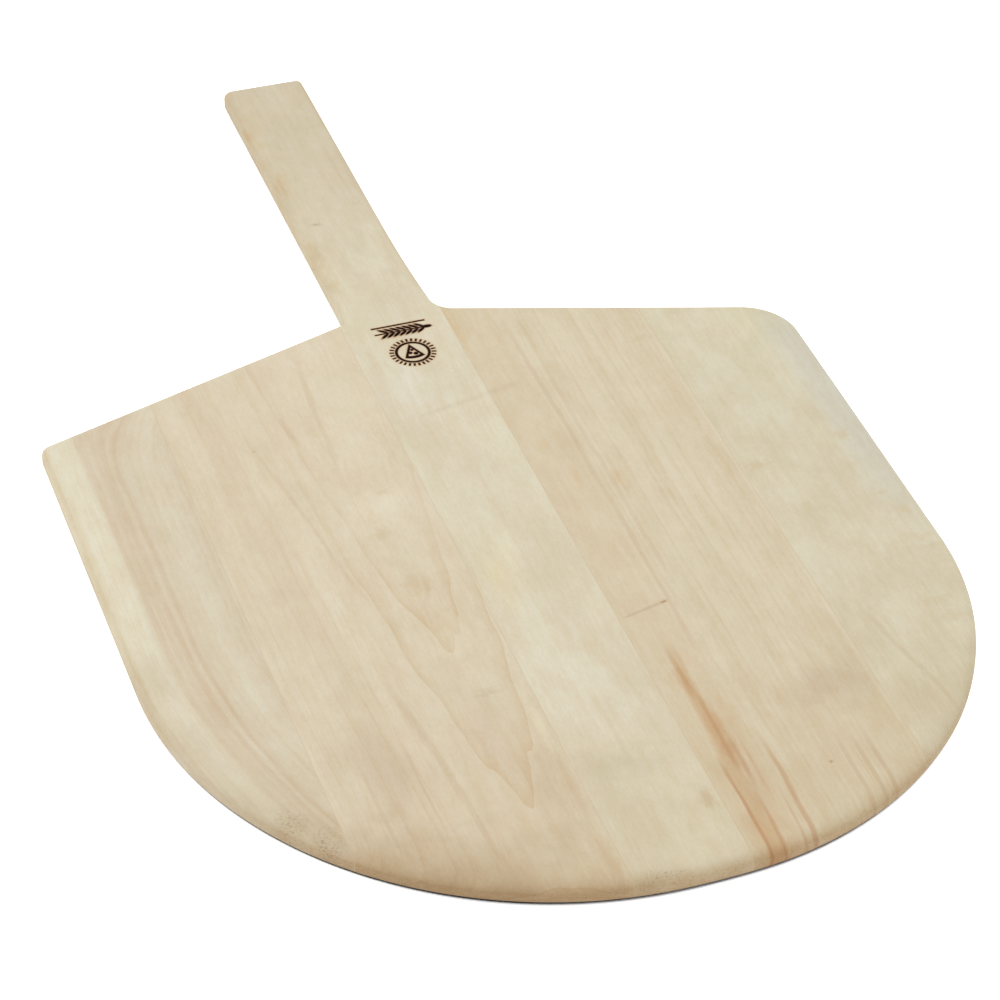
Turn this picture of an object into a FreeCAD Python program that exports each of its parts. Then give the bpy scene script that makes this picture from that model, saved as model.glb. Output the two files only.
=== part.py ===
"""Pizza peel: five boards edge-glued into one panel, sawn to outline and rounded over.

Frame: X across the blade, Y along the peel with the blade's tip towards -Y and the handle
towards +Y, Z up. The origin is under the middle of the whole peel, on its flat underside.
Millimetres throughout.
"""
import FreeCAD, Part
import math
import os
import Sketcher

DIMENSIONS = [
    ("overall_length", 609.6, "24 in, blade's tip to handle's end"),
    ("blade_width", 355.6, "14 in, across the parallel sides"),
    ("panel_thickness", 9.5, "3/8 in, planed panel"),
    ("handle_width", 41.6, "straight part of the handle"),
    ("handle_length", 212.8, "handle's end to where the shoulders would meet the handle"),
    ("shoulder_drop", 50.1, "fall of each shoulder from the handle to the side"),
    ("flare_length", 72.0, "stretch over which the handle's right side widens"),
    ("flare_radius", 900.0, "gentle arc of that widening"),
    ("root_radius_left", 1.5, "nearly sharp inside corner"),
    ("root_radius_right", 12.1, "full inside corner"),
    ("shoulder_radius_left", 5.5, "crisp outer corner"),
    ("shoulder_radius_right", 27.2, "well rounded outer corner"),
    ("handle_end_radius_left", 4.9, "corner of the handle's end"),
    ("handle_end_radius_right", 3.6, "corner of the handle's end"),
    ("nose_side_radius", 163.7, "right half of the nose, arc from the side towards the tip"),
    ("nose_tip_radius", 390.0, "right half of the nose, flatter arc at the tip"),
    ("edge_round_top", 3.2, "round-over along sides, shoulders and handle"),
    ("edge_round_bottom", 3.0, "eased lower edge, all round"),
    ("nose_round_tip", 6.2, "upper round-over at the tip, fading out towards the sides"),
    ("nose_round_right", 6.0, "the same, where the two arcs of the right half meet"),
    ("centre_board_width", 49.4, "the middle board, which also makes the handle"),
    ("left_inner_width", 98.7, "board left of the centre board"),
    ("right_inner_width", 87.8, "board right of the centre board"),
    ("glue_film", 0.15, "thickness of each glue line"),
    ("saw_margin", 10.0, "how far the cutting strips run past the panel"),
]

# Places of the four glue lines across the panel, as spreadsheet expressions.
LEFT_INNER_SEAM = "-dims.centre_board_width / 2"
RIGHT_INNER_SEAM = "dims.centre_board_width / 2"
LEFT_OUTER_SEAM = LEFT_INNER_SEAM + " - dims.left_inner_width"
RIGHT_OUTER_SEAM = RIGHT_INNER_SEAM + " + dims.right_inner_width"
LEFT_OF_PANEL = "-dims.blade_width / 2 - dims.saw_margin"
RIGHT_OF_PANEL = "dims.blade_width / 2 + dims.saw_margin"

TOUCHING = 1e-3
NOSE_SHARE = 0.1    # corners of the outline this close to the tip, in blade widths, are the nose's
SKETCH_AXIS_Y = -2
SKETCH_ORIGIN = (-1, 1)
START, END, CENTRE = 1, 2, 3

doc = FreeCAD.newDocument("pizza_peel")


def make_sheet():
    """The driving dimensions, one row each: value with its alias, then what it is."""
    sheet = doc.addObject("Spreadsheet::Sheet", "dims")
    for row, (alias, value, meaning) in enumerate(DIMENSIONS, start=1):
        sheet.set(f"A{row}", str(value))
        sheet.setAlias(f"A{row}", alias)
        sheet.set(f"B{row}", meaning)
    doc.recompute()
    return sheet


dims = make_sheet()


def size(alias):
    """A driving dimension as a number, for first guesses and for finding edges."""
    return float(dims.get(alias))


def origin_plane(body, role):
    for feature in body.Origin.OriginFeatures:
        if feature.Role == role:
            return feature
    raise ValueError(role)


def right_nose():
    """The right half of the nose: centres of its two arcs and the point where they meet.

    The tip arc is centred on the peel's middle line, and the side arc is tangent to the
    blade's side.
    """
    tip_radius, side_radius = size("nose_tip_radius"), size("nose_side_radius")
    tip_centre = FreeCAD.Vector(0, -size("overall_length") / 2 + tip_radius, 0)
    side_x = size("blade_width") / 2 - side_radius
    fall = math.sqrt((tip_radius - side_radius) ** 2 - side_x ** 2)
    side_centre = FreeCAD.Vector(side_x, tip_centre.y - fall, 0)
    away = (side_centre - tip_centre).normalize()
    return tip_centre, side_centre, tip_centre + away * tip_radius


def arc(centre, radius, start, end):
    """An arc running anticlockwise from the point start to the point end."""
    circle = Part.Circle(centre, FreeCAD.Vector(0, 0, 1), radius)
    return Part.ArcOfCircle(circle, circle.parameter(start), circle.parameter(end))


def outline_sketch(body):
    """The closed outline of the whole panel, before its upright corners are rounded.

    It runs anticlockwise from the tip: right half of the nose, right side, right shoulder,
    flare, handle, left shoulder, left side, left half of the nose. The left half of the nose
    is a plain quarter circle; the right half is cut a little fuller, in two arcs.
    """
    sketch = body.newObject("Sketcher::SketchObject", "outline")
    sketch.AttachmentSupport = (origin_plane(body, "XY_Plane"), [""])
    sketch.MapMode = "FlatFace"

    half_width = size("blade_width") / 2
    half_handle = size("handle_width") / 2
    half_length = size("overall_length") / 2
    root_y = half_length - size("handle_length")
    shoulder_y = root_y - size("shoulder_drop")
    slope = size("shoulder_drop") / (half_width - half_handle)

    tip = FreeCAD.Vector(0, -half_length, 0)
    tip_centre, side_centre, right_touch = right_nose()
    left_centre = FreeCAD.Vector(0, -half_length + half_width, 0)
    right_join = FreeCAD.Vector(half_width, side_centre.y, 0)
    left_join = FreeCAD.Vector(-half_width, left_centre.y, 0)
    right_shoulder = FreeCAD.Vector(half_width, shoulder_y, 0)
    left_shoulder = FreeCAD.Vector(-half_width, shoulder_y, 0)
    flare_top = FreeCAD.Vector(half_handle, root_y + size("flare_length"), 0)
    flare_centre = flare_top + FreeCAD.Vector(size("flare_radius"), 0, 0)
    flare_foot_y = root_y
    for _ in range(20):
        flare_x = flare_centre.x - math.sqrt(
            size("flare_radius") ** 2 - (flare_foot_y - flare_centre.y) ** 2)
        flare_foot_y = root_y - slope * (flare_x - half_handle)
    right_root = FreeCAD.Vector(flare_x, flare_foot_y, 0)
    left_root = FreeCAD.Vector(-half_handle, root_y, 0)
    right_end = FreeCAD.Vector(half_handle, half_length, 0)
    left_end = FreeCAD.Vector(-half_handle, half_length, 0)

    def line(start, end):
        return sketch.addGeometry(Part.LineSegment(start, end), False)

    def curve(*args):
        return sketch.addGeometry(arc(*args), False)

    tip_right = curve(tip_centre, size("nose_tip_radius"), tip, right_touch)
    side_right = curve(side_centre, size("nose_side_radius"), right_touch, right_join)
    edge_right = line(right_join, right_shoulder)
    brow_right = line(right_shoulder, right_root)
    flare = curve(flare_centre, size("flare_radius"), flare_top, right_root)
    grip_right = line(flare_top, right_end)
    grip_end = line(right_end, left_end)
    grip_left = line(left_end, left_root)
    brow_left = line(left_root, left_shoulder)
    edge_left = line(left_shoulder, left_join)
    nose_left = curve(left_centre, half_width, left_join, tip)

    def add(*args):
        return sketch.addConstraint(Sketcher.Constraint(*args))

    def bind(index, expression):
        sketch.setExpression(f"Constraints[{index}]", expression)

    for first, second in ((tip_right, side_right), (side_right, edge_right),
                          (edge_left, nose_left), (nose_left, tip_right)):
        add("Tangent", first, END, second, START)
    for first, second in ((edge_right, brow_right), (grip_right, grip_end), (grip_end, grip_left),
                          (grip_left, brow_left), (brow_left, edge_left)):
        add("Coincident", first, END, second, START)
    add("Coincident", brow_right, END, flare, END)
    add("Tangent", flare, START, grip_right, START)
    add("PointOnObject", tip_right, START, SKETCH_AXIS_Y)
    add("PointOnObject", tip_right, CENTRE, SKETCH_AXIS_Y)
    for upright in (edge_right, grip_right, grip_left, edge_left):
        add("Vertical", upright)
    add("Horizontal", grip_end)
    for curved, alias in ((tip_right, "nose_tip_radius"), (side_right, "nose_side_radius"),
                          (flare, "flare_radius")):
        bind(add("Radius", curved, size(alias)), "dims." + alias)

    def along_x(geometry, point, value, expression):
        bind(add("DistanceX", *SKETCH_ORIGIN, geometry, point, value), expression)

    def along_y(geometry, point, value, expression):
        bind(add("DistanceY", *SKETCH_ORIGIN, geometry, point, value), expression)

    root_expression = "dims.overall_length / 2 - dims.handle_length"
    shoulder_expression = root_expression + " - dims.shoulder_drop"
    along_y(tip_right, START, -half_length, "-dims.overall_length / 2")
    along_x(edge_right, END, half_width, "dims.blade_width / 2")
    along_y(edge_right, END, shoulder_y, shoulder_expression)
    along_x(grip_end, START, half_handle, "dims.handle_width / 2")
    along_y(grip_end, START, half_length, "dims.overall_length / 2")
    along_x(grip_end, END, -half_handle, "-dims.handle_width / 2")
    along_y(grip_left, END, root_y, root_expression)
    along_x(edge_left, START, -half_width, "-dims.blade_width / 2")
    along_y(edge_left, START, shoulder_y, shoulder_expression)
    along_y(flare, START, flare_top.y, root_expression + " + dims.flare_length")

    root_mark = sketch.addGeometry(Part.Point(FreeCAD.Vector(half_handle, root_y, 0)), True)
    along_x(root_mark, START, half_handle, "dims.handle_width / 2")
    along_y(root_mark, START, root_y, root_expression)
    add("PointOnObject", root_mark, START, brow_right)
    return sketch


def upright_edge(shape, x, y):
    """Name of the upright edge of the panel that stands at (x, y)."""
    best, best_gap = None, 1.0
    for index, edge in enumerate(shape.Edges, start=1):
        ends = [vertex.Point for vertex in edge.Vertexes]
        if len(ends) != 2 or abs(ends[0].z - ends[1].z) < size("panel_thickness") / 2:
            continue
        gap = math.hypot(ends[0].x - x, ends[0].y - y)
        if gap < best_gap:
            best, best_gap = f"Edge{index}", gap
    if best is None:
        raise ValueError(f"no upright edge at {x:.1f}, {y:.1f}")
    return best


def make_panel():
    """The glued-up panel, sawn to outline, with its upright corners rounded."""
    body = doc.addObject("PartDesign::Body", "panel")
    sketch = outline_sketch(body)
    pad = body.newObject("PartDesign::Pad", "sawn_panel")
    pad.Profile = sketch
    pad.setExpression("Length", "dims.panel_thickness")
    doc.recompute()
    if not sketch.FullyConstrained:
        raise ValueError("the outline is not fully constrained")

    half_width = size("blade_width") / 2
    half_handle = size("handle_width") / 2
    half_length = size("overall_length") / 2
    root_y = half_length - size("handle_length")
    shoulder_y = root_y - size("shoulder_drop")
    right_root = [vertex for vertex in pad.Shape.Vertexes
                  if half_handle + 1 < vertex.X < half_handle + 10 and vertex.Y > 0][0]
    corners = [
        (right_root.X, right_root.Y, "root_radius_right"),
        (-half_handle, root_y, "root_radius_left"),
        (half_width, shoulder_y, "shoulder_radius_right"),
        (-half_width, shoulder_y, "shoulder_radius_left"),
        (half_handle, half_length, "handle_end_radius_right"),
        (-half_handle, half_length, "handle_end_radius_left"),
    ]
    feature = pad
    for x, y, alias in corners:
        name = upright_edge(feature.Shape, x, y)
        rounded = body.newObject("PartDesign::Fillet", alias + "_corner")
        rounded.Base = (feature, [name])
        rounded.setExpression("Radius", "dims." + alias)
        doc.recompute()
        feature = rounded
    body.Tip = feature
    doc.recompute()
    return body


def top_rounding(point):
    """Round-over radius of the upper edge at a corner point of the outline.

    Small everywhere except on the nose, where it grows from the sides to the tip.
    """
    near_tip = -size("overall_length") / 2 + size("blade_width") * NOSE_SHARE
    if point.y > near_tip:
        return size("edge_round_top")
    if point.x > TOUCHING:
        return size("nose_round_right")
    return size("nose_round_tip")


def make_rounded_panel(panel):
    """The panel with its upper edge rounded over and its lower edge eased, all the way round."""
    rounded = doc.addObject("Part::Fillet", "rounded_panel")
    rounded.Base = panel
    thickness = size("panel_thickness")
    edges = []
    for index, edge in enumerate(panel.Shape.Edges, start=1):
        first, last = edge.firstVertex().Point, edge.lastVertex().Point
        if abs(first.z - last.z) > TOUCHING:
            continue
        if abs(first.z) < TOUCHING:
            bottom = size("edge_round_bottom")
            edges.append((index, bottom, bottom))
        elif abs(first.z - thickness) < TOUCHING:
            edges.append((index, top_rounding(first), top_rounding(last)))
    rounded.Edges = edges
    doc.recompute()
    return rounded


def make_strip(name, left, right):
    """A tall strip across the panel between two spreadsheet expressions for x."""
    strip = doc.addObject("Part::Box", name + "_strip")
    strip.setExpression("Length", f"({right}) - ({left})")
    strip.setExpression("Width", "dims.overall_length + 2 * dims.saw_margin")
    strip.setExpression("Height", "dims.panel_thickness + 2 * dims.saw_margin")
    strip.setExpression("Placement.Base.x", left)
    strip.setExpression("Placement.Base.y", "-dims.overall_length / 2 - dims.saw_margin")
    strip.setExpression("Placement.Base.z", "-dims.saw_margin")
    return strip


def make_piece(name, panel, left, right):
    """The slice of the finished panel between left and right, as its own labelled solid."""
    piece = doc.addObject("Part::Common", name)
    piece.Base = panel
    piece.Tool = make_strip(name, left, right)
    piece.Label = name
    return piece


def make_boards(panel):
    half_film = " dims.glue_film / 2"
    seams = [LEFT_OUTER_SEAM, LEFT_INNER_SEAM, RIGHT_INNER_SEAM, RIGHT_OUTER_SEAM]
    names = ["left_outer_board", "left_inner_board", "centre_board", "right_inner_board",
             "right_outer_board"]
    lefts = [LEFT_OF_PANEL] + [seam + " +" + half_film for seam in seams]
    rights = [seam + " -" + half_film for seam in seams] + [RIGHT_OF_PANEL]
    return [make_piece(*args) for args in zip(names, [panel] * len(names), lefts, rights)]


def make_glue_lines(panel):
    """Each glue line fills the whole joint face between two boards, so it shows all round."""
    half_film = " dims.glue_film / 2"
    seams = {
        "left_outer_glue_line": LEFT_OUTER_SEAM,
        "left_inner_glue_line": LEFT_INNER_SEAM,
        "right_inner_glue_line": RIGHT_INNER_SEAM,
        "right_outer_glue_line": RIGHT_OUTER_SEAM,
    }
    return [make_piece(name, panel, seam + " -" + half_film, seam + " +" + half_film)
            for name, seam in seams.items()]


def check_and_write(pieces):
    """Stop on any failed object or bad shape, then write one STEP file for each piece."""
    doc.recompute()
    for item in doc.Objects:
        if "Invalid" in item.State or "Error" in item.State:
            raise ValueError(f"{item.Name} failed: {item.State}")
    for piece in pieces:
        shape = piece.Shape
        if shape.isNull() or not shape.isValid() or len(shape.Solids) != 1:
            raise ValueError(f"{piece.Label} is not one valid solid")
    os.makedirs("parts", exist_ok=True)
    for piece in pieces:
        piece.Shape.exportStep(f"parts/{piece.Label}.step")
        box = piece.Shape.optimalBoundingBox(False)
        print(f"{piece.Label}: {piece.Shape.Volume / 1000:.1f} cm3, x {box.XMin:.2f} to {box.XMax:.2f},"
              f" y {box.YMin:.2f} to {box.YMax:.2f}, z {box.ZMin:.2f} to {box.ZMax:.2f}")


rounded_panel = make_rounded_panel(make_panel())
check_and_write(make_boards(rounded_panel) + make_glue_lines(rounded_panel))
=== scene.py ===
"""Pizza peel: five edge-glued boards and their glue lines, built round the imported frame.

The nine pieces are cut from one panel mesh, because the real panel is glued up before it's sawn
to outline, rounded over and branded. Lengths are millimetres until a mesh is written.
"""
import math

import bmesh
import bpy
import numpy as np
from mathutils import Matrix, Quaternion, Vector
from mathutils.geometry import delaunay_2d_cdt
from mathutils.kdtree import KDTree
from numpy.linalg import norm


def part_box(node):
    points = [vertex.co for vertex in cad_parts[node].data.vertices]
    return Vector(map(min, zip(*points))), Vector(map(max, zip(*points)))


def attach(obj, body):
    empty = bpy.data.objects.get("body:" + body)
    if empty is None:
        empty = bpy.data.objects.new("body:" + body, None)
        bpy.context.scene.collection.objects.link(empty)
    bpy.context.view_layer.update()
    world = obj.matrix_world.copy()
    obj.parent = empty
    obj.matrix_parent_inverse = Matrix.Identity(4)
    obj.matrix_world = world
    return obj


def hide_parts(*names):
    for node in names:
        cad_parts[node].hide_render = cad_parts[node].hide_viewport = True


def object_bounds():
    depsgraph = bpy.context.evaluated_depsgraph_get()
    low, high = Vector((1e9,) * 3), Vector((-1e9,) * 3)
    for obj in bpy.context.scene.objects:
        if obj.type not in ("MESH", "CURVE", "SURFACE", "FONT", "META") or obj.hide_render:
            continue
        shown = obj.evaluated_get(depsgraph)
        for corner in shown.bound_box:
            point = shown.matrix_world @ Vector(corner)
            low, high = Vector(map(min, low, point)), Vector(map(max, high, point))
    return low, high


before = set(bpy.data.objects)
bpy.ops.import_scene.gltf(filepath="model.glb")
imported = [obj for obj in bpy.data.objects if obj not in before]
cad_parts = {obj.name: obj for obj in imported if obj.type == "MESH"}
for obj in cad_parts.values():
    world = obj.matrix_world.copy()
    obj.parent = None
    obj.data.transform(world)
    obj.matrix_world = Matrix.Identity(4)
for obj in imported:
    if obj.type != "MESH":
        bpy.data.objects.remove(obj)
CAD_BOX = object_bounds()
MM = 0.001


# ---------------- sizes from the frame

def box_mm(node):
    low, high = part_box(node)
    return np.array(low) / MM, np.array(high) / MM


GLUE_LINES = ["left_outer_glue_line", "left_inner_glue_line",
              "right_inner_glue_line", "right_outer_glue_line"]
BOARDS = ["left_outer_board", "left_inner_board", "centre_board",
          "right_inner_board", "right_outer_board"]

PANEL_LOW, PANEL_HIGH = (np.array(corner) / MM for corner in CAD_BOX)
HALF_WIDTH = (PANEL_HIGH[0] - PANEL_LOW[0]) / 2
TIP_Y, HANDLE_END_Y = PANEL_LOW[1], PANEL_HIGH[1]
TOP = PANEL_HIGH[2]
SEAM_EDGES = [(box_mm(node)[0][0], box_mm(node)[1][0]) for node in GLUE_LINES]

# Sizes that no box of the frame holds, the same as in the CAD model.
HALF_HANDLE = 20.8
FLARE_LENGTH = 72.0
FLARE_RADIUS = 900.0
NOSE_SIDE_RADIUS = 163.7
NOSE_TIP_RADIUS = 390.0
ROOT_RADIUS_LEFT, ROOT_RADIUS_RIGHT = 1.5, 12.1
SHOULDER_RADIUS_LEFT, SHOULDER_RADIUS_RIGHT = 5.5, 27.2
END_RADIUS_LEFT, END_RADIUS_RIGHT = 4.9, 3.6
EDGE_ROUND_TOP, EDGE_ROUND_BOTTOM = 3.2, 3.0

# The nose is sanded by hand to a slimmer edge: how much the round-overs grow at the tip, and
# how much further the upper one reaches in over the shoulders of the nose, left and right.
NOSE_HEIGHT_GAIN, NOSE_LOWER_GAIN, NOSE_REACH_GAIN = 0.95, 2.1, 4.0
NOSE_CHEEK_LEFT, NOSE_CHEEK_RIGHT = 8.0, 4.5

# Rub marks across the grain: two ends, width at the second end and strength. Each starts half as
# wide at its first end.
SCRATCHES = [((28.0, -150.3), (47.9, -145.2), 1.8, 0.35),
             ((45.6, -145.9), (47.6, -145.4), 1.1, 1.2),
             ((-9.0, 11.2), (40.0, 21.5), 4.2, 0.15)]
SCRATCH_DEPTH = 0.07

# The sander's waver along the edge: size, waves round the outline and phase. The second line is
# its share in the round-overs' heights, and how steeply the cheeks of the nose rise.
EDGE_WAVER = ((0.10, 7, 1.1), (0.08, 17, 0.4), (0.05, 41, 2.3))
WAVER_IN_HEIGHT, CHEEK_POWER = 0.3, 1.5

# The flat faces: their slight sway, and the eased groove along each glue line.
FACE_SWAY = 0.02
SEAM_EASE, SEAM_DEPTH = 0.5, 0.04

# How finely the meshes are made. Two of these are shares: the longest step along an arc, as a
# share of its radius, and how clear the face's points stay of the rim, as a share of RIM_STEP.
RIM_STEP, FACE_STEP, UNDER_STEP, MARK_STEP, SCRATCH_STEP = 1.0, 2.0, 4.0, 0.17, 0.4
ARC_STEP_SHARE, RIM_CLEARANCE_SHARE = 0.16, 0.5
FLARE_POINTS, LOWER_ROWS, UPPER_ROWS = 60, 7, 14
SEAM_CLEARANCE, SCRATCH_MARGIN = 0.3, 2
SHARP_EDGE = math.radians(50)
TOUCHING = 0.01

# Painted shade on the nose's rim, from this y towards the tip, over this distance in from the
# outline.
RIM_SHADE_START, RIM_SHADE_REACH = -190.0, 18.0

# Wood colours are written as they look under the studio light, which is this many times white.
STUDIO_LIGHT = (1.115, 1.075, 1.050)
WOOD_IOR = 1.47
STREAK_END = 25    # how far in from its ends a streak of stain is at its full strength

# The soft box, in metres and watts. Then the room's light and the share of it that is missing
# round one azimuth, on the viewer's side. It dims between these two cosines from that direction.
SOFT_BOX_PLACE, SOFT_BOX_SIZE, SOFT_BOX_POWER = (-0.6, 0.7, 2.2), 2.6, 18
ROOM_LIGHT, DIM_SHARE = 1.00, 0.66
DIM_AZIMUTH, DIM_FROM, DIM_FULL = math.radians(252), 0.60, 0.97

# The floor glows a little on the peel and more to the camera, like a light table. Where the
# peel's edge shuts it in, the glow goes out and the colour darkens into a painted contact shadow.
# Its openness is 0 where it's wholly shut in and 1 in the open. Its reach, its gap under the peel
# and OPENNESS_REACH are metres.
FLOOR_REACH, FLOOR_GAP = 12.0, 0.0001
FLOOR_PALE, FLOOR_PAINTED_SHADOW = 0.94, 0.12
FLOOR_GLOW, FLOOR_EXTRA_GLOW = 0.20, 0.50
GLOW_FROM_OPENNESS, GLOW_TO_OPENNESS, OPENNESS_REACH = 0.24, 0.36, 0.02

# The camera, in metres, degrees and, for its lens and sensor, millimetres.
CAMERA_AZIMUTH, CAMERA_ELEVATION, CAMERA_ROLL = -19.367, 37.935, 0.745
CAMERA_AIM_X, CAMERA_AIM_Y, CAMERA_DISTANCE = 0.00389, -0.0581, 1.64648
CAMERA_LENS, CAMERA_SENSOR = 135.80, 36.0

# The burnt mark on the centre board, just below the root of the handle, and how far it runs
# from its middle: to the sides, towards the tip and towards the handle.
MARK_X, MARK_Y = 1.7, 59.0
MARK_SIDE, MARK_TIPWARDS, MARK_HANDLEWARDS = 14.5, 12, 25
BURN_DEPTH, BURN_WALL = 0.30, 0.25
BURN_FAR = 4.0    # places further than this from the burnt lines all count as this far

# Its lines, by their half widths, in axes with v towards the tip and u towards the left side.
RING_RADIUS, RING_HALF = 7.6, 0.50
RAY_COUNT, RAY_HALF, RAY_MIDDLE, RAY_HALF_LENGTH = 28, 0.31, 9.75, 0.85
SLICE_POINT_V, SLICE_LENGTH, SLICE_HALF_ANGLE = -5.2, 9.0, math.radians(25)
SLICE_HALF, CRUST_HALF = 0.42, 0.75
TOPPINGS = ((-1.1, 1.2, 0.95), (1.3, 0.2, 0.85), (-0.1, -1.9, 0.65))
EAR_V, STEM_U, STEM_HALF_LENGTH, STEM_HALF = -17.8, 1.0, 11.5, 0.28
LAST_GRAIN_U, LAST_GRAIN_HALF_LENGTH = -12.3, 2.3
GRAIN_PAIRS, GRAIN_START_U, GRAIN_STEP, GRAIN_OFF = 7, -9.2, 2.9, 1.9
GRAIN_HALF_LENGTH, GRAIN_HALF, GRAIN_TILT = 2.1, 0.66, math.radians(-38)
RULE_V, RULE_HALF_LENGTH, RULE_HALF = -22.9, 12.8, 0.34


# ---------------- outline

def arc_points(centre, radius, start, end):
    """Points along an arc between two angles in degrees, ends included."""
    length = abs(math.radians(end - start)) * radius
    count = max(2, int(length / min(RIM_STEP, radius * ARC_STEP_SHARE)) + 1)
    angles = np.radians(np.linspace(start, end, count))
    return np.c_[centre[0] + radius * np.cos(angles), centre[1] + radius * np.sin(angles)]


def corner_points(before, corner, after, radius):
    """The arc that rounds a corner of the outline."""
    before, corner, after = (np.array(p, float) for p in (before, corner, after))
    arrive = (before - corner) / norm(before - corner)
    leave = (after - corner) / norm(after - corner)
    half = math.acos(np.clip(arrive @ leave, -1, 1)) / 2
    middle = (arrive + leave) / norm(arrive + leave)
    centre = corner + middle * radius / math.sin(half)
    first = corner + arrive * radius / math.tan(half) - centre
    last = corner + leave * radius / math.tan(half) - centre
    start = math.degrees(math.atan2(first[1], first[0]))
    turn = math.degrees(math.atan2(first[0] * last[1] - first[1] * last[0], first @ last))
    return arc_points(centre, radius, start, start + turn)


def outline_points():
    """The panel's outline, anticlockwise from the tip, with its outward normals.

    Also returns how far each point is round the nose: 0 along the sides, 1 at the tip.
    """
    left_outer_high = box_mm("left_outer_board")[1]
    left_inner_high = box_mm("left_inner_board")[1]
    slope = (left_inner_high[1] - left_outer_high[1]) / (left_inner_high[0] - left_outer_high[0])
    root_y = left_inner_high[1] + slope * (-HALF_HANDLE - left_inner_high[0])
    shoulder_y = root_y - slope * (HALF_WIDTH - HALF_HANDLE)

    tip_centre = np.array([0, TIP_Y + NOSE_TIP_RADIUS])
    side_x = HALF_WIDTH - NOSE_SIDE_RADIUS
    fall = math.sqrt((NOSE_TIP_RADIUS - NOSE_SIDE_RADIUS) ** 2 - side_x ** 2)
    side_centre = np.array([side_x, tip_centre[1] - fall])
    meet = math.degrees(math.atan2(-fall, side_x))
    left_centre = np.array([0, TIP_Y + HALF_WIDTH])

    flare_top_y = root_y + FLARE_LENGTH
    flare_centre = np.array([HALF_HANDLE + FLARE_RADIUS, flare_top_y])

    def flare_x(y):
        return flare_centre[0] - math.sqrt(FLARE_RADIUS ** 2 - (y - flare_top_y) ** 2)

    root_x = flare_x(root_y)
    right_root = (root_x, root_y - slope * (root_x - HALF_HANDLE))
    flare_start = right_root[1] + ROOT_RADIUS_RIGHT
    right_shoulder, left_shoulder = (HALF_WIDTH, shoulder_y), (-HALF_WIDTH, shoulder_y)
    right_end, left_end = (HALF_HANDLE, HANDLE_END_Y), (-HALF_HANDLE, HANDLE_END_Y)
    left_root = (-HALF_HANDLE, root_y)
    on_flare = (flare_x(flare_start), flare_start)
    pieces = [
        arc_points(tip_centre, NOSE_TIP_RADIUS, -90, meet),
        arc_points(side_centre, NOSE_SIDE_RADIUS, meet, 0),
        corner_points((HALF_WIDTH, side_centre[1]), right_shoulder, right_root,
                      SHOULDER_RADIUS_RIGHT),
        corner_points(right_shoulder, right_root, on_flare, ROOT_RADIUS_RIGHT),
        np.array([(flare_x(y), y) for y in np.linspace(flare_start, flare_top_y, FLARE_POINTS)]),
        corner_points((HALF_HANDLE, flare_top_y), right_end, left_end, END_RADIUS_RIGHT),
        corner_points(right_end, left_end, left_root, END_RADIUS_LEFT),
        corner_points(left_end, left_root, left_shoulder, ROOT_RADIUS_LEFT),
        corner_points(left_root, left_shoulder, (-HALF_WIDTH, left_centre[1]),
                      SHOULDER_RADIUS_LEFT),
        arc_points(left_centre, HALF_WIDTH, 180, 270),
    ]
    path = [pieces[0][0]]
    for piece in pieces:
        last = path[-1]
        steps = int(norm(piece[0] - last) / RIM_STEP)
        path.extend(last + (piece[0] - last) * k / steps for k in range(1, steps))
        joined = norm(piece[0] - last) < 1e-6
        path.extend(piece[1:] if joined else piece)
    path = np.array(path[:-1])

    ahead, behind = np.roll(path, -1, 0), np.roll(path, 1, 0)
    tangent = (ahead - behind) / norm(ahead - behind, axis=1)[:, None]
    normal = np.c_[tangent[:, 1], -tangent[:, 0]]

    join_y = np.where(path[:, 0] > 0, side_centre[1], left_centre[1])
    share = np.clip((join_y - path[:, 1]) / (join_y - TIP_Y), 0, 1)
    round_nose = 2 / math.pi * np.arcsin(share)
    return path, normal, round_nose


# ---------------- the burnt mark

def mark_distance(x, y):
    """Distance to the branded lines in millimetres, below zero inside them.

    The mark is a plain generic one: a pizza slice in a ring of short rays, and beyond it an ear
    of wheat under a rule. It reads the right way up for a person who holds the handle.
    """
    u, v = MARK_X - x, MARK_Y - y
    rule = np.maximum(np.abs(v - RULE_V) - RULE_HALF, np.abs(u) - RULE_HALF_LENGTH)
    return np.minimum.reduce(ring_and_rays(u, v) + pizza_slice(u, v) + wheat_ear(u, v) + [rule])


def ring_and_rays(u, v):
    """Distances to the ring and to the short rays outside it."""
    radius = np.hypot(u, v)
    angle = np.arctan2(v, u)
    ring = np.abs(radius - RING_RADIUS) - RING_HALF
    half_gap = math.pi / RAY_COUNT
    off_ray = np.abs((angle + half_gap) % (2 * half_gap) - half_gap) * radius
    rays = np.maximum(off_ray - RAY_HALF, np.abs(radius - RAY_MIDDLE) - RAY_HALF_LENGTH)
    return [ring, rays]


def pizza_slice(u, v):
    """Distances to a slice with its point towards the handle and a thick curved crust."""
    beyond = v - SLICE_POINT_V
    from_point = np.hypot(u, beyond)
    side = np.abs(u) * math.cos(SLICE_HALF_ANGLE) - beyond * math.sin(SLICE_HALF_ANGLE)
    edges = np.maximum(np.abs(side) - SLICE_HALF, from_point - SLICE_LENGTH)
    crust = np.maximum(np.abs(from_point - SLICE_LENGTH) - CRUST_HALF, side - SLICE_HALF)
    toppings = [np.hypot(u - du, v - dv) - size for du, dv, size in TOPPINGS]
    return [edges, crust] + toppings


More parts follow.
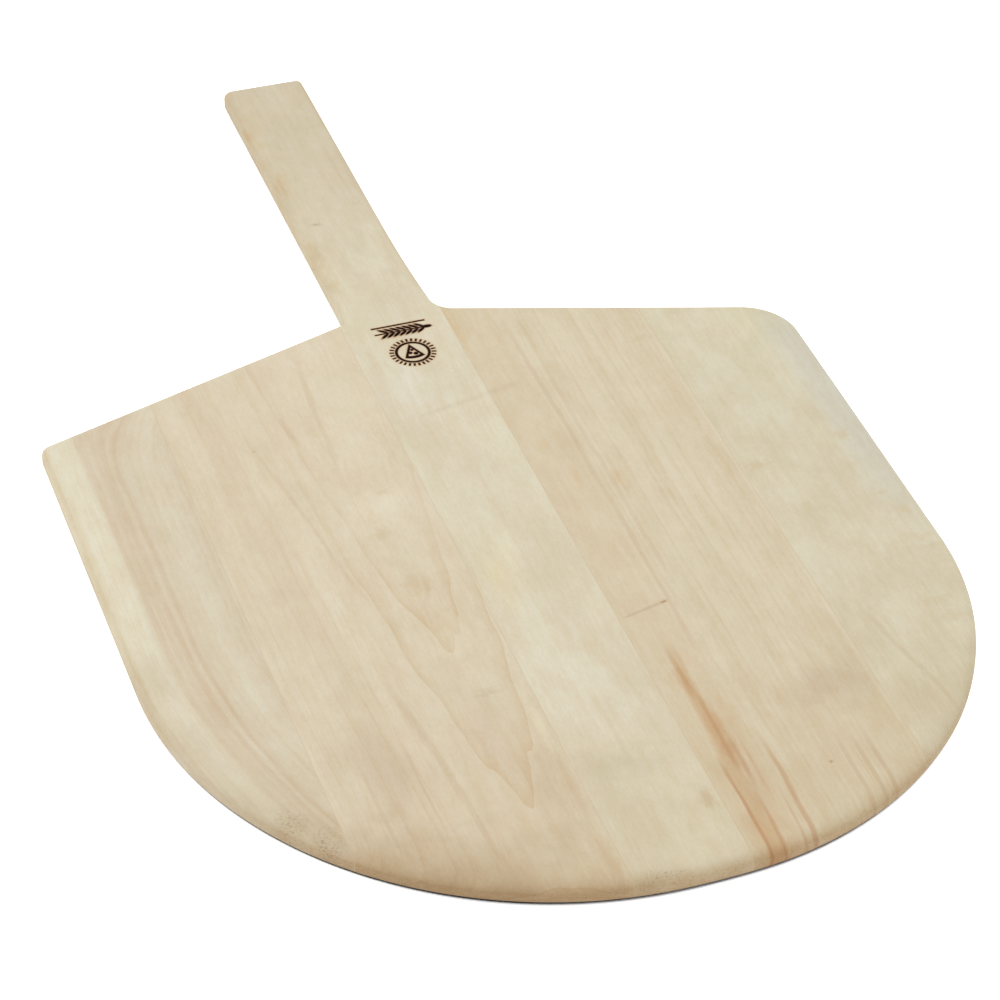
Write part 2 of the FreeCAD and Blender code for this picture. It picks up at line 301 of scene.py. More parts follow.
def wheat_ear(u, v):
    """Distances to an ear of wheat: a stem with grains in pairs, and one more at its end."""
    off_stem = v - EAR_V
    stem = np.maximum(np.abs(off_stem) - STEM_HALF, np.abs(u - STEM_U) - STEM_HALF_LENGTH)
    grains = [np.hypot((u - LAST_GRAIN_U) / LAST_GRAIN_HALF_LENGTH, off_stem) - 1]
    cosine, sine = math.cos(GRAIN_TILT), math.sin(GRAIN_TILT)
    for k in range(GRAIN_PAIRS):
        for side in (-1, 1):
            du, dv = u - GRAIN_START_U - k * GRAIN_STEP, off_stem * side - GRAIN_OFF
            along, across = du * cosine - dv * sine, du * sine + dv * cosine
            from_middle = np.hypot(along / GRAIN_HALF_LENGTH, across / GRAIN_HALF)
            grains.append((from_middle - 1) * GRAIN_HALF)
    return [stem] + grains


# ---------------- the panel's mesh

def inside_polygon(points, polygon):
    """True for each point inside the closed polygon, by counting crossings."""
    inside = np.zeros(len(points), bool)
    x, y = points[:, 0], points[:, 1]
    for (x1, y1), (x2, y2) in zip(polygon, np.roll(polygon, -1, 0)):
        if y1 == y2:
            continue
        crosses = (y1 > y) != (y2 > y)
        inside ^= crosses & (x < (x2 - x1) * (y - y1) / (y2 - y1) + x1)
    return inside


def grid(low, high, step):
    """Grid points over a rectangle, at most one step apart."""
    counts = [max(2, int(math.ceil((b - a) / step)) + 1) for a, b in zip(low, high)]
    xs, ys = (np.linspace(a, b, n) for a, b, n in zip(low, high, counts))
    return np.stack(np.meshgrid(xs, ys), -1).reshape(-1, 2)


def search_tree(points):
    """A tree that finds the nearest of some points in the plane."""
    tree = KDTree(len(points))
    for k, (x, y) in enumerate(points):
        tree.insert((x, y, 0), k)
    tree.balance()
    return tree


def fill(ring, step, patches, columns):
    """Triangulates the inside of a ring. Returns the new inner points and the triangles.

    In the triangles, indices below len(ring) are the ring's own points. Columns are x values
    that get a straight row of points, so that a later cut runs along edges.
    """
    low, high = ring.min(0), ring.max(0)
    points = grid(low, high, step)
    for patch_low, patch_high, patch_step in patches:
        outside = np.any((points < patch_low) | (points > patch_high), axis=1)
        points = np.r_[points[outside], grid(patch_low, patch_high, patch_step)]
    ys = np.arange(low[1], high[1], step)
    for x in columns:
        points = points[np.abs(points[:, 0] - x) > SEAM_CLEARANCE]
    for x in columns:
        points = np.r_[points, np.c_[np.full(len(ys), x), ys]]
    points = points[inside_polygon(points, ring)]
    tree = search_tree(ring)
    clear = [tree.find((x, y, 0))[2] > RIM_CLEARANCE_SHARE * RIM_STEP for x, y in points]
    points = points[np.array(clear)]
    count = len(ring)
    edges = [(k, (k + 1) % count) for k in range(count)]
    everything = [Vector(p) for p in np.r_[ring, points]]
    only_inside, tolerance = 1, 1e-6
    filled = delaunay_2d_cdt(everything, edges, [], only_inside, tolerance)
    coords, _, triangles, sources, _, _ = filled
    if len(coords) != len(everything):
        raise ValueError("the triangulation merged or added points")
    original = [source[0] for source in sources]
    return points, [[original[k] for k in triangle] for triangle in triangles]


def scratch_depth(x, y):
    """0 outside the scratches, rising to a scratch's own strength along its middle."""
    depth = np.zeros_like(x)
    for (x1, y1), (x2, y2), width, strength in SCRATCHES:
        run = np.array([x2 - x1, y2 - y1])
        share = np.clip(((x - x1) * run[0] + (y - y1) * run[1]) / (run @ run), 0, 1)
        away = np.hypot(x - x1 - share * run[0], y - y1 - share * run[1])
        taper = (1 + share) / 2
        here = np.clip(1 - away / (width * taper), 0, 1)
        depth = np.maximum(depth, strength * here * here * (3 - 2 * here))
    return depth


def rounding_sizes(path, nose):
    """Size of the round-overs at each outline point, with a sander's slight waver.

    Returns the upper one's reach inwards, its height, and the radius of the lower one.
    """
    travelled = np.r_[0, np.cumsum(norm(np.diff(path, axis=0), axis=1))]
    turns = travelled / travelled[-1] * 2 * math.pi
    waver = sum(size * np.sin(waves * turns + phase) for size, waves, phase in EDGE_WAVER)
    ease = nose * nose * (3 - 2 * nose)
    cheek = np.where(path[:, 0] < 0, NOSE_CHEEK_LEFT, NOSE_CHEEK_RIGHT)
    cheek = cheek * np.sin(math.pi * np.clip(nose, 0, 1)) ** CHEEK_POWER
    reach = EDGE_ROUND_TOP + NOSE_REACH_GAIN * ease + cheek + waver
    height = EDGE_ROUND_TOP + NOSE_HEIGHT_GAIN * ease + WAVER_IN_HEIGHT * waver
    lower = EDGE_ROUND_BOTTOM + NOSE_LOWER_GAIN * ease + WAVER_IN_HEIGHT * waver
    return reach, height, lower


def panel_arrays():
    """Vertices (mm), faces and edge share of the whole panel, before it's cut into boards.

    The edge share is 1 on the wall and round-overs and falls to 0 on the flat faces.
    """
    path, normal, nose = outline_points()
    count = len(path)
    reach, height, lower = rounding_sizes(path, nose)

    layers, shares = [], []
    for turn in np.radians(np.linspace(0, 90, LOWER_ROWS)):
        flat = path - normal * (lower * (1 - math.sin(turn)))[:, None]
        layers.append(np.c_[flat, lower * (1 - math.cos(turn))])
        shares.append(np.full(count, math.sin(turn)))
    for turn in np.radians(np.linspace(0, 90, UPPER_ROWS)):
        flat = path - normal * (reach * (1 - math.cos(turn)))[:, None]
        layers.append(np.c_[flat, TOP - height * (1 - math.sin(turn))])
        shares.append(np.full(count, math.cos(turn)))
    vertices, share = np.concatenate(layers), np.concatenate(shares)
    faces = []
    for row in range(len(layers) - 1):
        for k in range(count):
            a, b = row * count + k, row * count + (k + 1) % count
            faces.append((a, b, b + count, a + count))

    seams = [x for pair in SEAM_EDGES for x in pair]
    beside = [x + side * SEAM_EASE for pair in SEAM_EDGES for x, side in zip(pair, (-1, 1))]
    patches = [((MARK_X - MARK_SIDE, MARK_Y - MARK_TIPWARDS),
                (MARK_X + MARK_SIDE, MARK_Y + MARK_HANDLEWARDS), MARK_STEP)]
    for first, second, _, _ in SCRATCHES:
        ends = np.array([first, second])
        patches.append((ends.min(0) - SCRATCH_MARGIN, ends.max(0) + SCRATCH_MARGIN, SCRATCH_STEP))
    last = (len(layers) - 1) * count
    for start, step, fine, columns, upward in (
            (0, UNDER_STEP, [], seams, False),
            (last, FACE_STEP, patches, seams + beside, True)):
        inner, triangles = fill(vertices[start:start + count, :2], step, fine, columns)
        base = len(vertices)
        level = np.full(len(inner), vertices[start, 2])
        vertices = np.r_[vertices, np.c_[inner, level]]
        share = np.r_[share, np.zeros(len(inner))]
        for triangle in triangles:
            face = [start + k if k < count else base + k - count for k in triangle]
            faces.append(face if upward else face[::-1])
    return vertices, faces, share


def face_sway(x, y):
    """How far a sanded face lies below its highest places, in long shallow waves."""
    long_waves = np.sin(x / 23 + 0.7) * np.sin(y / 41 + 0.2)
    short_waves = 0.5 * np.sin(x / 9 + y / 60)
    return FACE_SWAY * (1.5 + (long_waves + short_waves))


def relief(vertices):
    """Sinks the brand, scratches, eased seams and a slight sway into the upper face.

    Returns the new vertices, each one's distance from the branded lines, and its scratch depth.
    """
    x, y, z = vertices.T
    face = z > TOP - TOUCHING
    distance = np.where(face, np.clip(mark_distance(x, y), -1, BURN_FAR), BURN_FAR)
    burn = np.clip(0.5 - distance / BURN_WALL, 0, 1)
    groove = np.zeros(len(x))
    for left, right in SEAM_EDGES:
        gap = np.maximum(np.maximum(left - x, x - right), 0)
        groove = np.maximum(groove, np.clip(1 - gap / SEAM_EASE, 0, 1))
    scratch = np.where(face, scratch_depth(x, y), 0)
    lowered = vertices.copy()
    sunk = burn * BURN_DEPTH + groove * SEAM_DEPTH + scratch * SCRATCH_DEPTH + face_sway(x, y)
    lowered[:, 2] -= np.where(face, sunk, 0)
    return lowered, distance, scratch


def rim_shade_share(vertices, outline):
    """Where painted shade goes: 1 at the outline of the nose, falling to 0 some way in from it."""
    tree = search_tree(outline)
    share = np.zeros(len(vertices))
    for k in np.flatnonzero(vertices[:, 1] < RIM_SHADE_START):
        away = tree.find((vertices[k, 0], vertices[k, 1], 0))[2]
        round_corner = min(1, (RIM_SHADE_START - vertices[k, 1]) / RIM_SHADE_REACH)
        share[k] = max(0, 1 - away / RIM_SHADE_REACH) * round_corner
    return share


def slice_panel(panel, left, right):
    """A closed copy of the panel between two x limits, in metres."""
    piece = panel.copy()
    for limit, direction in ((left, -1), (right, 1)):
        if math.isinf(limit):
            continue
        geometry = piece.verts[:] + piece.edges[:] + piece.faces[:]
        bmesh.ops.bisect_plane(piece, geom=geometry, dist=1e-7, plane_co=(limit * MM, 0, 0),
                               plane_no=(direction, 0, 0), clear_outer=True)
        rim = [edge for edge in piece.edges if edge.is_boundary]
        bmesh.ops.holes_fill(piece, edges=rim, sides=0)
    bmesh.ops.triangulate(piece, faces=[face for face in piece.faces if len(face.verts) > 4])
    bmesh.ops.recalc_face_normals(piece, faces=piece.faces)
    return piece


def add_object(name, data):
    thing = bpy.data.objects.new(name, data)
    bpy.context.scene.collection.objects.link(thing)
    return thing


def piece_object(name, solid):
    """A smooth-shaded object from a bmesh, with its sawn edges kept sharp."""
    mesh = bpy.data.meshes.new(name)
    solid.to_mesh(mesh)
    solid.free()
    mesh.polygons.foreach_set("use_smooth", [True] * len(mesh.polygons))
    mesh.set_sharp_from_angle(angle=SHARP_EDGE)
    return add_object(name, mesh)


def cut_pieces():
    """Every board and glue line, cut from one panel mesh, by CAD node name."""
    flat_vertices, faces, edge_share = panel_arrays()
    vertices, brand_distance, scratch = relief(flat_vertices)
    panel = bmesh.new()
    # The share of painted shade round the nose's rim, kept on the mesh as the attribute rim.
    rim = rim_shade_share(flat_vertices, outline_points()[0])
    fields = {"brand_distance": brand_distance, "scratch": scratch, "edge_share": edge_share,
              "rim": rim}
    layers = [panel.verts.layers.float.new(name) for name in fields]
    made = [panel.verts.new(corner) for corner in vertices * MM]
    for layer, values in zip(layers, fields.values()):
        for vertex, value in zip(made, values):
            vertex[layer] = value
    for face in faces:
        panel.faces.new([made[k] for k in face])

    limits = [-math.inf] + [x for pair in SEAM_EDGES for x in pair] + [math.inf]
    nodes = [name for pair in zip(BOARDS, GLUE_LINES) for name in pair] + [BOARDS[-1]]
    pieces = {}
    for node, left, right in zip(nodes, limits[:-1], limits[1:]):
        name = node.replace("_board", "_board_wood").replace("_glue_line", "_glue_film")
        pieces[node] = piece_object(name, slice_panel(panel, left, right))
    panel.free()
    return pieces


# ---------------- node graphs as arithmetic

class Value:
    """A number in a material's node graph, so that a formula for it reads as arithmetic."""

    def __init__(self, tree, socket):
        self.tree, self.socket = tree, socket

    def op(self, operation, *others):
        node = self.tree.nodes.new("ShaderNodeMath")
        node.operation = operation
        connect(self.tree, node.inputs, (self,) + others)
        return Value(self.tree, node.outputs[0])

    def __add__(self, other):
        return self.op("ADD", other)

    def __sub__(self, other):
        return self.op("SUBTRACT", other)

    def __mul__(self, other):
        return self.op("MULTIPLY", other)

    def __truediv__(self, other):
        return self.op("DIVIDE", other)

    def power(self, exponent):
        return self.op("POWER", exponent)

    def smooth(self, start, end):
        """0 up to start, 1 from end, and a soft ramp between."""
        node = self.tree.nodes.new("ShaderNodeMapRange")
        node.interpolation_type = "SMOOTHSTEP"
        connect(self.tree, node.inputs, (self, start, end, 0.0, 1.0))
        return Value(self.tree, node.outputs[0])

    def fade(self, start, end):
        """1 up to start, 0 from end, and a soft ramp between."""
        return (self.smooth(start, end) * -1.0) + 1.0


def connect(tree, inputs, values):
    """Sets or links the first inputs of a node, in order."""
    for target, value in zip(inputs, values):
        if isinstance(value, Value):
            tree.links.new(value.socket, target)
        else:
            target.default_value = value


def constant(tree, number):
    node = tree.nodes.new("ShaderNodeValue")
    node.outputs[0].default_value = number
    return Value(tree, node.outputs[0])


def vector(tree, x, y, z):
    node = tree.nodes.new("ShaderNodeCombineXYZ")
    connect(tree, node.inputs, (x, y, z))
    return Value(tree, node.outputs[0])


def noise(point, size, detail=2.0, roughness=0.5, seed=0.0):
    """Smooth noise from 0 to 1 over a point (x, y, z), with features of the given size in mm."""
    tree = point[0].tree
    node = tree.nodes.new("ShaderNodeTexNoise")
    node.noise_dimensions = "4D"
    scaled = vector(tree, *(axis * (1.0 / length) for axis, length in zip(point, size)))
    tree.links.new(scaled.socket, node.inputs["Vector"])
    for name, value in (("W", seed), ("Scale", 1.0), ("Detail", detail), ("Roughness", roughness)):
        node.inputs[name].default_value = value
    return Value(tree, node.outputs[0])


def random_of(value, seed):
    """A steady random number from 0 to 1 for each whole value."""
    node = value.tree.nodes.new("ShaderNodeTexWhiteNoise")
    node.noise_dimensions = "2D"
    pair = vector(value.tree, value, seed, 0.0)
    value.tree.links.new(pair.socket, node.inputs["Vector"])
    return Value(value.tree, node.outputs["Value"])


def attribute(tree, name):
    node = tree.nodes.new("ShaderNodeAttribute")
    node.attribute_name = name
    return Value(tree, node.outputs["Fac"])


def srgb(red, green, blue):
    """A colour given in everyday 0 to 255 values, as linear light."""
    channels = (c / 255 for c in (red, green, blue))
    linear = [c / 12.92 if c <= 0.04045 else ((c + 0.055) / 1.055) ** 2.4 for c in channels]
    return (*linear, 1.0)


def blend(factor, first, second, mode="MIX"):
    """first where factor is 0, and second laid over it where factor is 1."""
    tree = factor.tree
    node = tree.nodes.new("ShaderNodeMix")
    node.data_type = "RGBA"
    node.blend_type = mode
    connect(tree, (node.inputs[0], node.inputs[6], node.inputs[7]), (factor, first, second))
    return Value(tree, node.outputs[2])


def new_material(name):
    material = bpy.data.materials.new(name)
    material.use_nodes = True
    tree = material.node_tree
    return material, tree, tree.nodes["Principled BSDF"]


def axes(tree, node_type, output):
    """The x, y and z of a node's vector output."""
    split = tree.nodes.new("ShaderNodeSeparateXYZ")
    tree.links.new(tree.nodes.new(node_type).outputs[output], split.inputs[0])
    return [Value(tree, axis) for axis in split.outputs]


def position_mm(tree):
    """The point's x, y and z in the object's frame, in millimetres."""
    return [axis * 1000.0 for axis in axes(tree, "ShaderNodeTexCoord", "Object")]


def facing_ends(tree):
    """1 where the surface faces along the grain, so that it shows end grain."""
    _, y, _ = axes(tree, "ShaderNodeNewGeometry", "Normal")
    return y.op("ABSOLUTE").smooth(0.12, 0.85)


def surface(tree, shader, colour, roughness, height):
    """Feeds a Principled shader. Height is the relief of the surface in millimetres."""
    bump = tree.nodes.new("ShaderNodeBump")
    bump.inputs["Distance"].default_value = MM
    tree.links.new(height.socket, bump.inputs["Height"])
    tree.links.new(bump.outputs[0], shader.inputs["Normal"])
    tree.links.new(colour.socket, shader.inputs["Base Color"])
    tree.links.new(roughness.socket, shader.inputs["Roughness"])


# ---------------- wood

class Wood:
    """Solid maple: growth rings round a heart line, fibres along y, and a board's own figure.

    Every pattern is a field in space, so that a board's faces, edges and ends show one log. The
    heart is an x and a z, and tilts with y. Spacing is from ring to ring. Wander and waver say
    how far the grain strays, slowly and quickly. Each bend is (y, side, rate, x): past that y,
    on that side, the grain to the right of x curves off towards +x.
    """

    def __init__(self, name, seed, heart, tilt, spacing, wander, waver=2.4, phase=0.0, bends=()):
        self.material, self.tree, self.shader = new_material(name)
        self.seed = seed
        x, y, z = self.point = position_mm(self.tree)
        slow = noise(self.point, (90, 260, 90), seed=seed + 1) - 0.5
        quick = noise(self.point, (16, 60, 16), detail=3, seed=seed + 2) - 0.5
        self.x = x + slow * (2 * wander) + quick * waver
        self.y = y
        for bend_y, side, rate, bend_x in bends:
            past = ((y - bend_y) * side).op("MAXIMUM", 0.0)
            self.x = self.x - past * past * rate * x.smooth(bend_x - 12, bend_x + 12)
        heart_x, heart_z = heart
        across = self.x - heart_x
        depth = z - heart_z + y * tilt
        rings = (across * across + depth * depth).power(0.5) / spacing + phase
        self.rings = rings + (noise(self.point, (9, 40, 9), detail=1, seed=seed + 3) - 0.5) * 0.5
        self.colour = None

    def ring_lines(self, sharpness, chosen=()):
        """Dark late-wood lines, each ring of its own strength, some of them chosen."""
        index = self.rings.op("FLOOR")
        strength = random_of(index, self.seed) * 0.7 + 0.1
        for ring, own_strength in chosen:
            here = index.op("COMPARE", ring, 0.1)
            strength = strength * (here * -1.0 + 1.0) + here * own_strength
        return self.rings.op("FRACT").power(sharpness) * strength

    def ring_tint(self, rings_per_band):
        """A slow change of tone from ring to ring, the same all along a ring."""
        node = self.tree.nodes.new("ShaderNodeTexNoise")
        node.noise_dimensions = "1D"
        node.inputs["Detail"].default_value = 1.5
        connect(self.tree, (node.inputs["W"], node.inputs["Scale"]),
                (self.rings + self.seed * 37.0, 1.0 / rings_per_band))
        return Value(self.tree, node.outputs[0])

    def field(self, size, detail=2.0, seed=0.0, roughness=0.5):
        """Noise that follows the grain's bends. Each use has a seed of its own."""
        return noise((self.x, self.y, self.point[2]), size, detail, roughness, self.seed + seed)

    def band(self, left, right, soft):
        """1 between two lines of the grain."""
        return self.x.smooth(left - soft, left + soft) * self.x.fade(right - soft, right + soft)

    def spot(self, x, y, width, length, ragged=0.7):
        """1 in the middle of a soft, ragged patch at a place on the board and 0 outside it."""
        size = (width * 0.45, length * 0.6, width)
        edge = noise(self.point, size, 3.0, 0.55, self.seed + x * 0.13 + y * 0.07) - 0.5
        across = (self.point[0] - x) / width
        along = (self.y - y) / length
        away = (across * across + along * along).power(0.5) + edge * (2.2 * ragged)
        return away.fade(0.0, 1.1)

    def streak(self, x, start, end, width, lean=0.0, ragged=1.0):
        """1 along a narrow line of stain that runs with the grain between two y values."""
        sway = (self.field((width * 6, 45, 20), seed=x * 0.31) - 0.5) * (width * 2 * ragged)
        across = (self.x + sway - x - (self.y - start) * lean) / width
        low, high = min(start, end), max(start, end)
        ends = self.y.smooth(low, low + STREAK_END) * self.y.fade(high - STREAK_END, high)
        return (across * across).fade(0.0, 1.0) * ends

    def base(self, amount, first, second):
        """Starts the board with a mix of two everyday colours."""
        self.colour = blend(amount, srgb(*first), srgb(*second))

    def lay(self, amount, colour):
        """Covers the board with an everyday colour, as much as the amount says."""
        self.colour = blend(amount, self.colour, srgb(*colour))

    def tint(self, amount, colour):
        """Multiplies the board's colour by an everyday one, as much as the amount says."""
        self.colour = blend(amount, self.colour, srgb(*colour), "MULTIPLY")

    def patch(self, x, y, width, length, strength, colour, ragged=0.7):
        """Covers a spot of the board with a colour."""
        self.lay(self.spot(x, y, width, length, ragged) * strength, colour)

    def finish(self):
        """Adds what every board has, from fibres to worn edges and painted shade at the nose, and
        gives the material.
        """
        exposure = [1 / light for light in STUDIO_LIGHT]
        self.colour = blend(constant(self.tree, 1.0), self.colour, (*exposure, 1), "MULTIPLY")
        ends = facing_ends(self.tree)
        edge = attribute(self.tree, "edge_share")
        fibre, strand, pores = self.add_fibres()
        self.add_clouds()
        open_fibres = self.add_sawn_ends(ends)
        self.add_wear_and_shade(edge)

        roughness = fibre * 0.16 + 0.54 - edge * 0.06 + ends * 0.12
        height = (fibre * 0.010 + strand * 0.012 - pores * 0.014
                  - ends * open_fibres.smooth(0.45, 0.70) * 0.05)
        surface(self.tree, self.shader, self.colour, roughness, height)
        self.shader.inputs["IOR"].default_value = WOOD_IOR
        return self.material

    def add_fibres(self):
        """Tints along fibres, strands, pores and sanded fuzz, and gives the first three."""
        fibre = self.field((0.5, 12, 0.5), detail=3.0, seed=11)
        strand = self.field((2.6, 70, 2.6), detail=2.0, seed=12)
        pores = self.field((0.28, 2.2, 0.28), detail=1.0, seed=13).smooth(0.63, 0.76)
        fuzz = noise(self.point, (0.9, 1.8, 0.9), 2.0, 0.6, self.seed + 16)
        self.tint(fibre.smooth(0.30, 0.72) * 0.36, (245, 239, 230))
        self.tint(strand.smooth(0.40, 0.70) * 0.40, (249, 243, 231))
        self.tint(pores * 0.30, (226, 208, 184))
        self.tint(fuzz.smooth(0.3, 0.7) * 0.35, (246, 241, 234))
        return fibre, strand, pores

    def add_clouds(self):
        """Soft changes of tone, some of them rosy and some green, and a nose toasted by use."""
        cloud = self.field((13, 24, 13), 4.0, 17, 0.6)
        mottle = self.field((4.5, 8, 4.5), 3.0, 21, 0.6)
        rosy = noise(self.point, (17, 22, 17), 3.0, 0.55, self.seed + 18)
        green = noise(self.point, (22, 30, 22), 3.0, 0.55, self.seed + 19)
        self.tint(cloud.smooth(0.36, 0.66) * 0.6, (249, 244, 238))
        self.tint(mottle.smooth(0.38, 0.64) * 0.35, (250, 246, 238))
        self.tint(rosy.smooth(0.40, 0.66) * 0.5, (254, 250, 248))
        self.tint(green.smooth(0.42, 0.66) * 0.5, (250, 252, 248))
        toasted = self.y.fade(-300, -150)
        self.tint(toasted * 0.6, (247, 241, 232))

    def add_sawn_ends(self, ends):
        """Darkens end grain and its open fibres, and gives the pattern of these."""
        open_fibres = self.field((0.55, 3.0, 0.55), detail=2.0, seed=14)
        self.tint(ends * 0.6, (236, 217, 192))
        self.tint(ends * open_fibres.smooth(0.50, 0.68) * 0.5, (216, 196, 168))
        return open_fibres

    def add_wear_and_shade(self, edge):
        """Grime on the edges, painted shade on the nose's left front that darkens its edge towards
        the foot into a painted contact shadow, and the rub marks.
        """
        grime = self.field((14, 24, 6), detail=3.0, seed=15).smooth(0.35, 0.75)
        self.tint(edge.smooth(0.15, 0.9) * grime * 0.4, (234, 222, 202))
        x, y, z = self.point
        past_left = x.smooth(-150, -112)
        front = y.fade(-290, -215) * past_left * x.fade(50, 140)
        # Painted shade over the rim of the nose's left front.
        rim = attribute(self.tree, "rim") * past_left * x.fade(-75, 20)
        self.tint(rim * 0.65, (222, 208, 186))
        # Painted shade down the wall of the nose's left front towards the floor, and a painted
        # contact shadow at its foot.
        self.tint(z.fade(1.5, 7.0) * front * 0.2, (214, 188, 154))
        self.tint(z.fade(0.9, 2.2) * front, (104, 84, 62))
        self.tint(attribute(self.tree, "scratch") * 0.8, (196, 164, 124))

    def pits(self, x, y, width, length):
        """Open end-grain pores where the sander has cut across the fibres."""
        dots = noise(self.point, (0.8, 0.8, 0.8), 1.0, 0.5, self.seed + 20)
        here = self.spot(x, y, width, length, 0.6)
        self.tint(here * 0.12, (214, 196, 168))
        self.tint(here * dots.smooth(0.52, 0.66) * 0.45, (172, 148, 116))


def left_outer_wood():
    """Rift-sawn board: a cream sapwood strip, then a pink band of close rings, then plain tan."""
    wood = Wood("maple_left_outer", 3, heart=(-262, -40), tilt=0.0, spacing=3.1, wander=1.0,
                waver=1.8, bends=((-102, -1, 0.0014, -195), (8, 1, 0.006, -150)))
    wood.base(wood.ring_tint(6).smooth(0.3, 0.7), (214, 201, 177), (218, 207, 184))

    # The cream strip, the pink band and its lines.
    wood.lay(wood.band(-190, -163.5, 3.0) * wood.y.smooth(-132, -92), (226, 218, 196))
    wood.patch(-166, -150, 13, 18, 0.7, (225, 214, 193))
    wood.lay(wood.band(-161, -147, 3.0) * 0.7, (215, 200, 176))
    wood.tint(wood.ring_lines(2.5) * 0.34, (238, 222, 204))
    for x, strength in ((-160.5, 0.22), (-157.0, 0.16), (-153.5, 0.26), (-148.5, 0.20)):
        wood.tint(wood.streak(x, 75, -260, 2.0, ragged=0.8) * strength, (234, 211, 190))

    # The browned side edge, and rough places round the nose.
    wood.tint(wood.point[0].fade(-176.5, -172.5) * 0.6, (245, 236, 222))
    wood.patch(-140, -228, 24, 32, 0.15, (203, 187, 161), 0.8)
    wood.pits(-141, -229, 9, 13)
    wood.pits(-131, -243, 9, 13)
    return wood


def left_inner_wood():
    """Flat-sawn board: nested arches that open towards the handle, and small knots."""
    wood = Wood("maple_left_inner", 5, heart=(-47, -65.4), tilt=-0.0253, spacing=2.56,
                phase=0.34, wander=1.5, waver=4.0)
    wood.base(wood.ring_tint(4).smooth(0.3, 0.7), (217, 202, 177), (221, 208, 184))

    # Soft changes of tone.
    wood.patch(-85, 45, 40, 45, 0.5, (217, 200, 174))
    wood.patch(-38, 38, 18, 44, 0.6, (222, 211, 186))
    wood.patch(-48, -47, 21, 17, 0.8, (226, 216, 193), 1.0)
    wood.patch(-51, -200, 10, 44, 0.7, (214, 198, 176), 0.5)
    wood.patch(-37, -238, 13, 34, 0.8, (207, 189, 161))
    wood.patch(-29, -204, 3, 22, 0.8, (227, 215, 188), 0.5)
    wood.patch(-99, -208, 24, 34, 0.7, (206, 188, 163), 0.9)
    wood.patch(-80, -272, 50, 26, 0.6, (201, 183, 155), 0.9)
    wood.patch(-106, -91, 18, 8, 0.3, (206, 190, 166), 0.8)
    wood.patch(-43, -178, 9, 3.5, 0.6, (204, 183, 152), 0.9)

    # Knots and specks, and a short line below them.
    for knot in ((-49, -102, 9, 9, 0.5), (-56, -83, 6, 5, 0.3), (-52, -66, 8, 5, 0.3),
                 (-43, -37, 5, 3, 0.4), (-88.3, 8.7, 1.2, 1.2, 0.8)):
        wood.patch(*knot, (205, 183, 146), 1.0)
    wood.tint(wood.streak(-42, -94, -125, 1.6, 0.28, 1.6) * 0.35, (214, 184, 146))

    # The arches, fainter towards the handle.
    arches = ((28, 0.2), (29, 0.2), (30, 1.3), (31, 1.2), (32, 0.2), (33, 0.3))
    strength = wood.y.fade(-130, -50) * 0.15 + 0.17
    wood.tint(wood.ring_lines(4.5, arches) * strength, (232, 207, 168))
    wood.patch(-30, -284, 5, 26, 0.5, (203, 177, 143), 0.9)
    wood.patch(-108, -250, 22, 22, 0.4, (197, 177, 149), 0.9)
    wood.patch(-42, -141, 13, 22, 0.5, (224, 210, 184), 0.9)
    lines = ((-51.0, 78, -25, 1.8, 0.07, 0.20), (-73.0, 38, -10, 1.6, -0.16, 0.18),
             (-90.0, 26, -110, 1.4, -0.13, 0.16), (-80.0, -150, -290, 2.0, -0.09, 0.22),
             (-86.0, -185, -260, 1.2, -0.02, 0.22), (-107.0, -195, -265, 1.2, -0.03, 0.20))
    for *run, strength in lines:
        wood.tint(wood.streak(*run, 1.8) * strength, (220, 192, 160))
    return wood


def centre_wood():
    """The palest board, nearly plain, which runs on into the handle."""
    wood = Wood("maple_centre", 7, heart=(-60, -60), tilt=0.004, spacing=2.9, wander=1.5)
    cloud = wood.field((22, 50, 20), detail=3, seed=4).smooth(0.35, 0.65)
    wood.base(cloud, (217, 206, 182), (221, 212, 188))
    wood.patch(-13, -106, 14, 36, 0.6, (226, 214, 180), 0.9)
    wood.patch(14, -102, 13, 40, 0.6, (215, 202, 175), 0.9)
    wood.patch(-8, -176, 24, 50, 0.8, (226, 218, 199), 0.9)
    wood.patch(-8, 34, 20, 34, 0.7, (224, 217, 199), 0.9)
    wood.patch(8, -165, 5, 16, 0.4, (217, 199, 168), 0.9)
    wood.patch(-4, -235, 26, 13, 0.6, (209, 198, 173), 1.0)
    wood.patch(19.5, -267, 4, 10, 0.7, (202, 181, 148), 1.0)
    wood.tint(wood.y.smooth(100, 280) * 0.9, (240, 236, 232))
    wood.tint(wood.ring_lines(3.0) * 0.12, (236, 220, 192))

    # The handle, browned along its sides by hands.
    handled = wood.field((5, 14, 5), detail=3, seed=5).smooth(0.45, 0.75)
    wood.lay(handled * wood.y.smooth(105, 130) * wood.band(-30, -13, 3) * 0.8, (212, 191, 154))
    for smudge in ((-16.5, 212, 4.5, 15, 0.7), (-17, 270, 4, 16, 0.35), (-17, 148, 5, 14, 0.4),
                   (14, 186, 4, 3, 0.3), (15, 140, 3, 16, 0.3)):
        wood.patch(*smudge, (206, 181, 144), 0.9)
    wood.patch(-10.3, 173.5, 3.4, 1.7, 0.7, (184, 170, 142), 0.9)
    wood.patch(2, 143, 10, 24, 0.4, (221, 213, 194), 0.9)
    across = wood.point[0]
    sides = (across.fade(-20.5, -15.5) + across.smooth(16.5, 20.5)) * wood.y.smooth(92, 120)
    wood.tint(sides * 0.6, (246, 238, 225))
    wood.lay(wood.field((9, 16, 9), 3.0, 6).smooth(0.45, 0.7) * wood.y.smooth(90, 130) * 0.4,
             (205, 194, 168))
    wood.pits(-12, -301, 15, 4)
    return wood


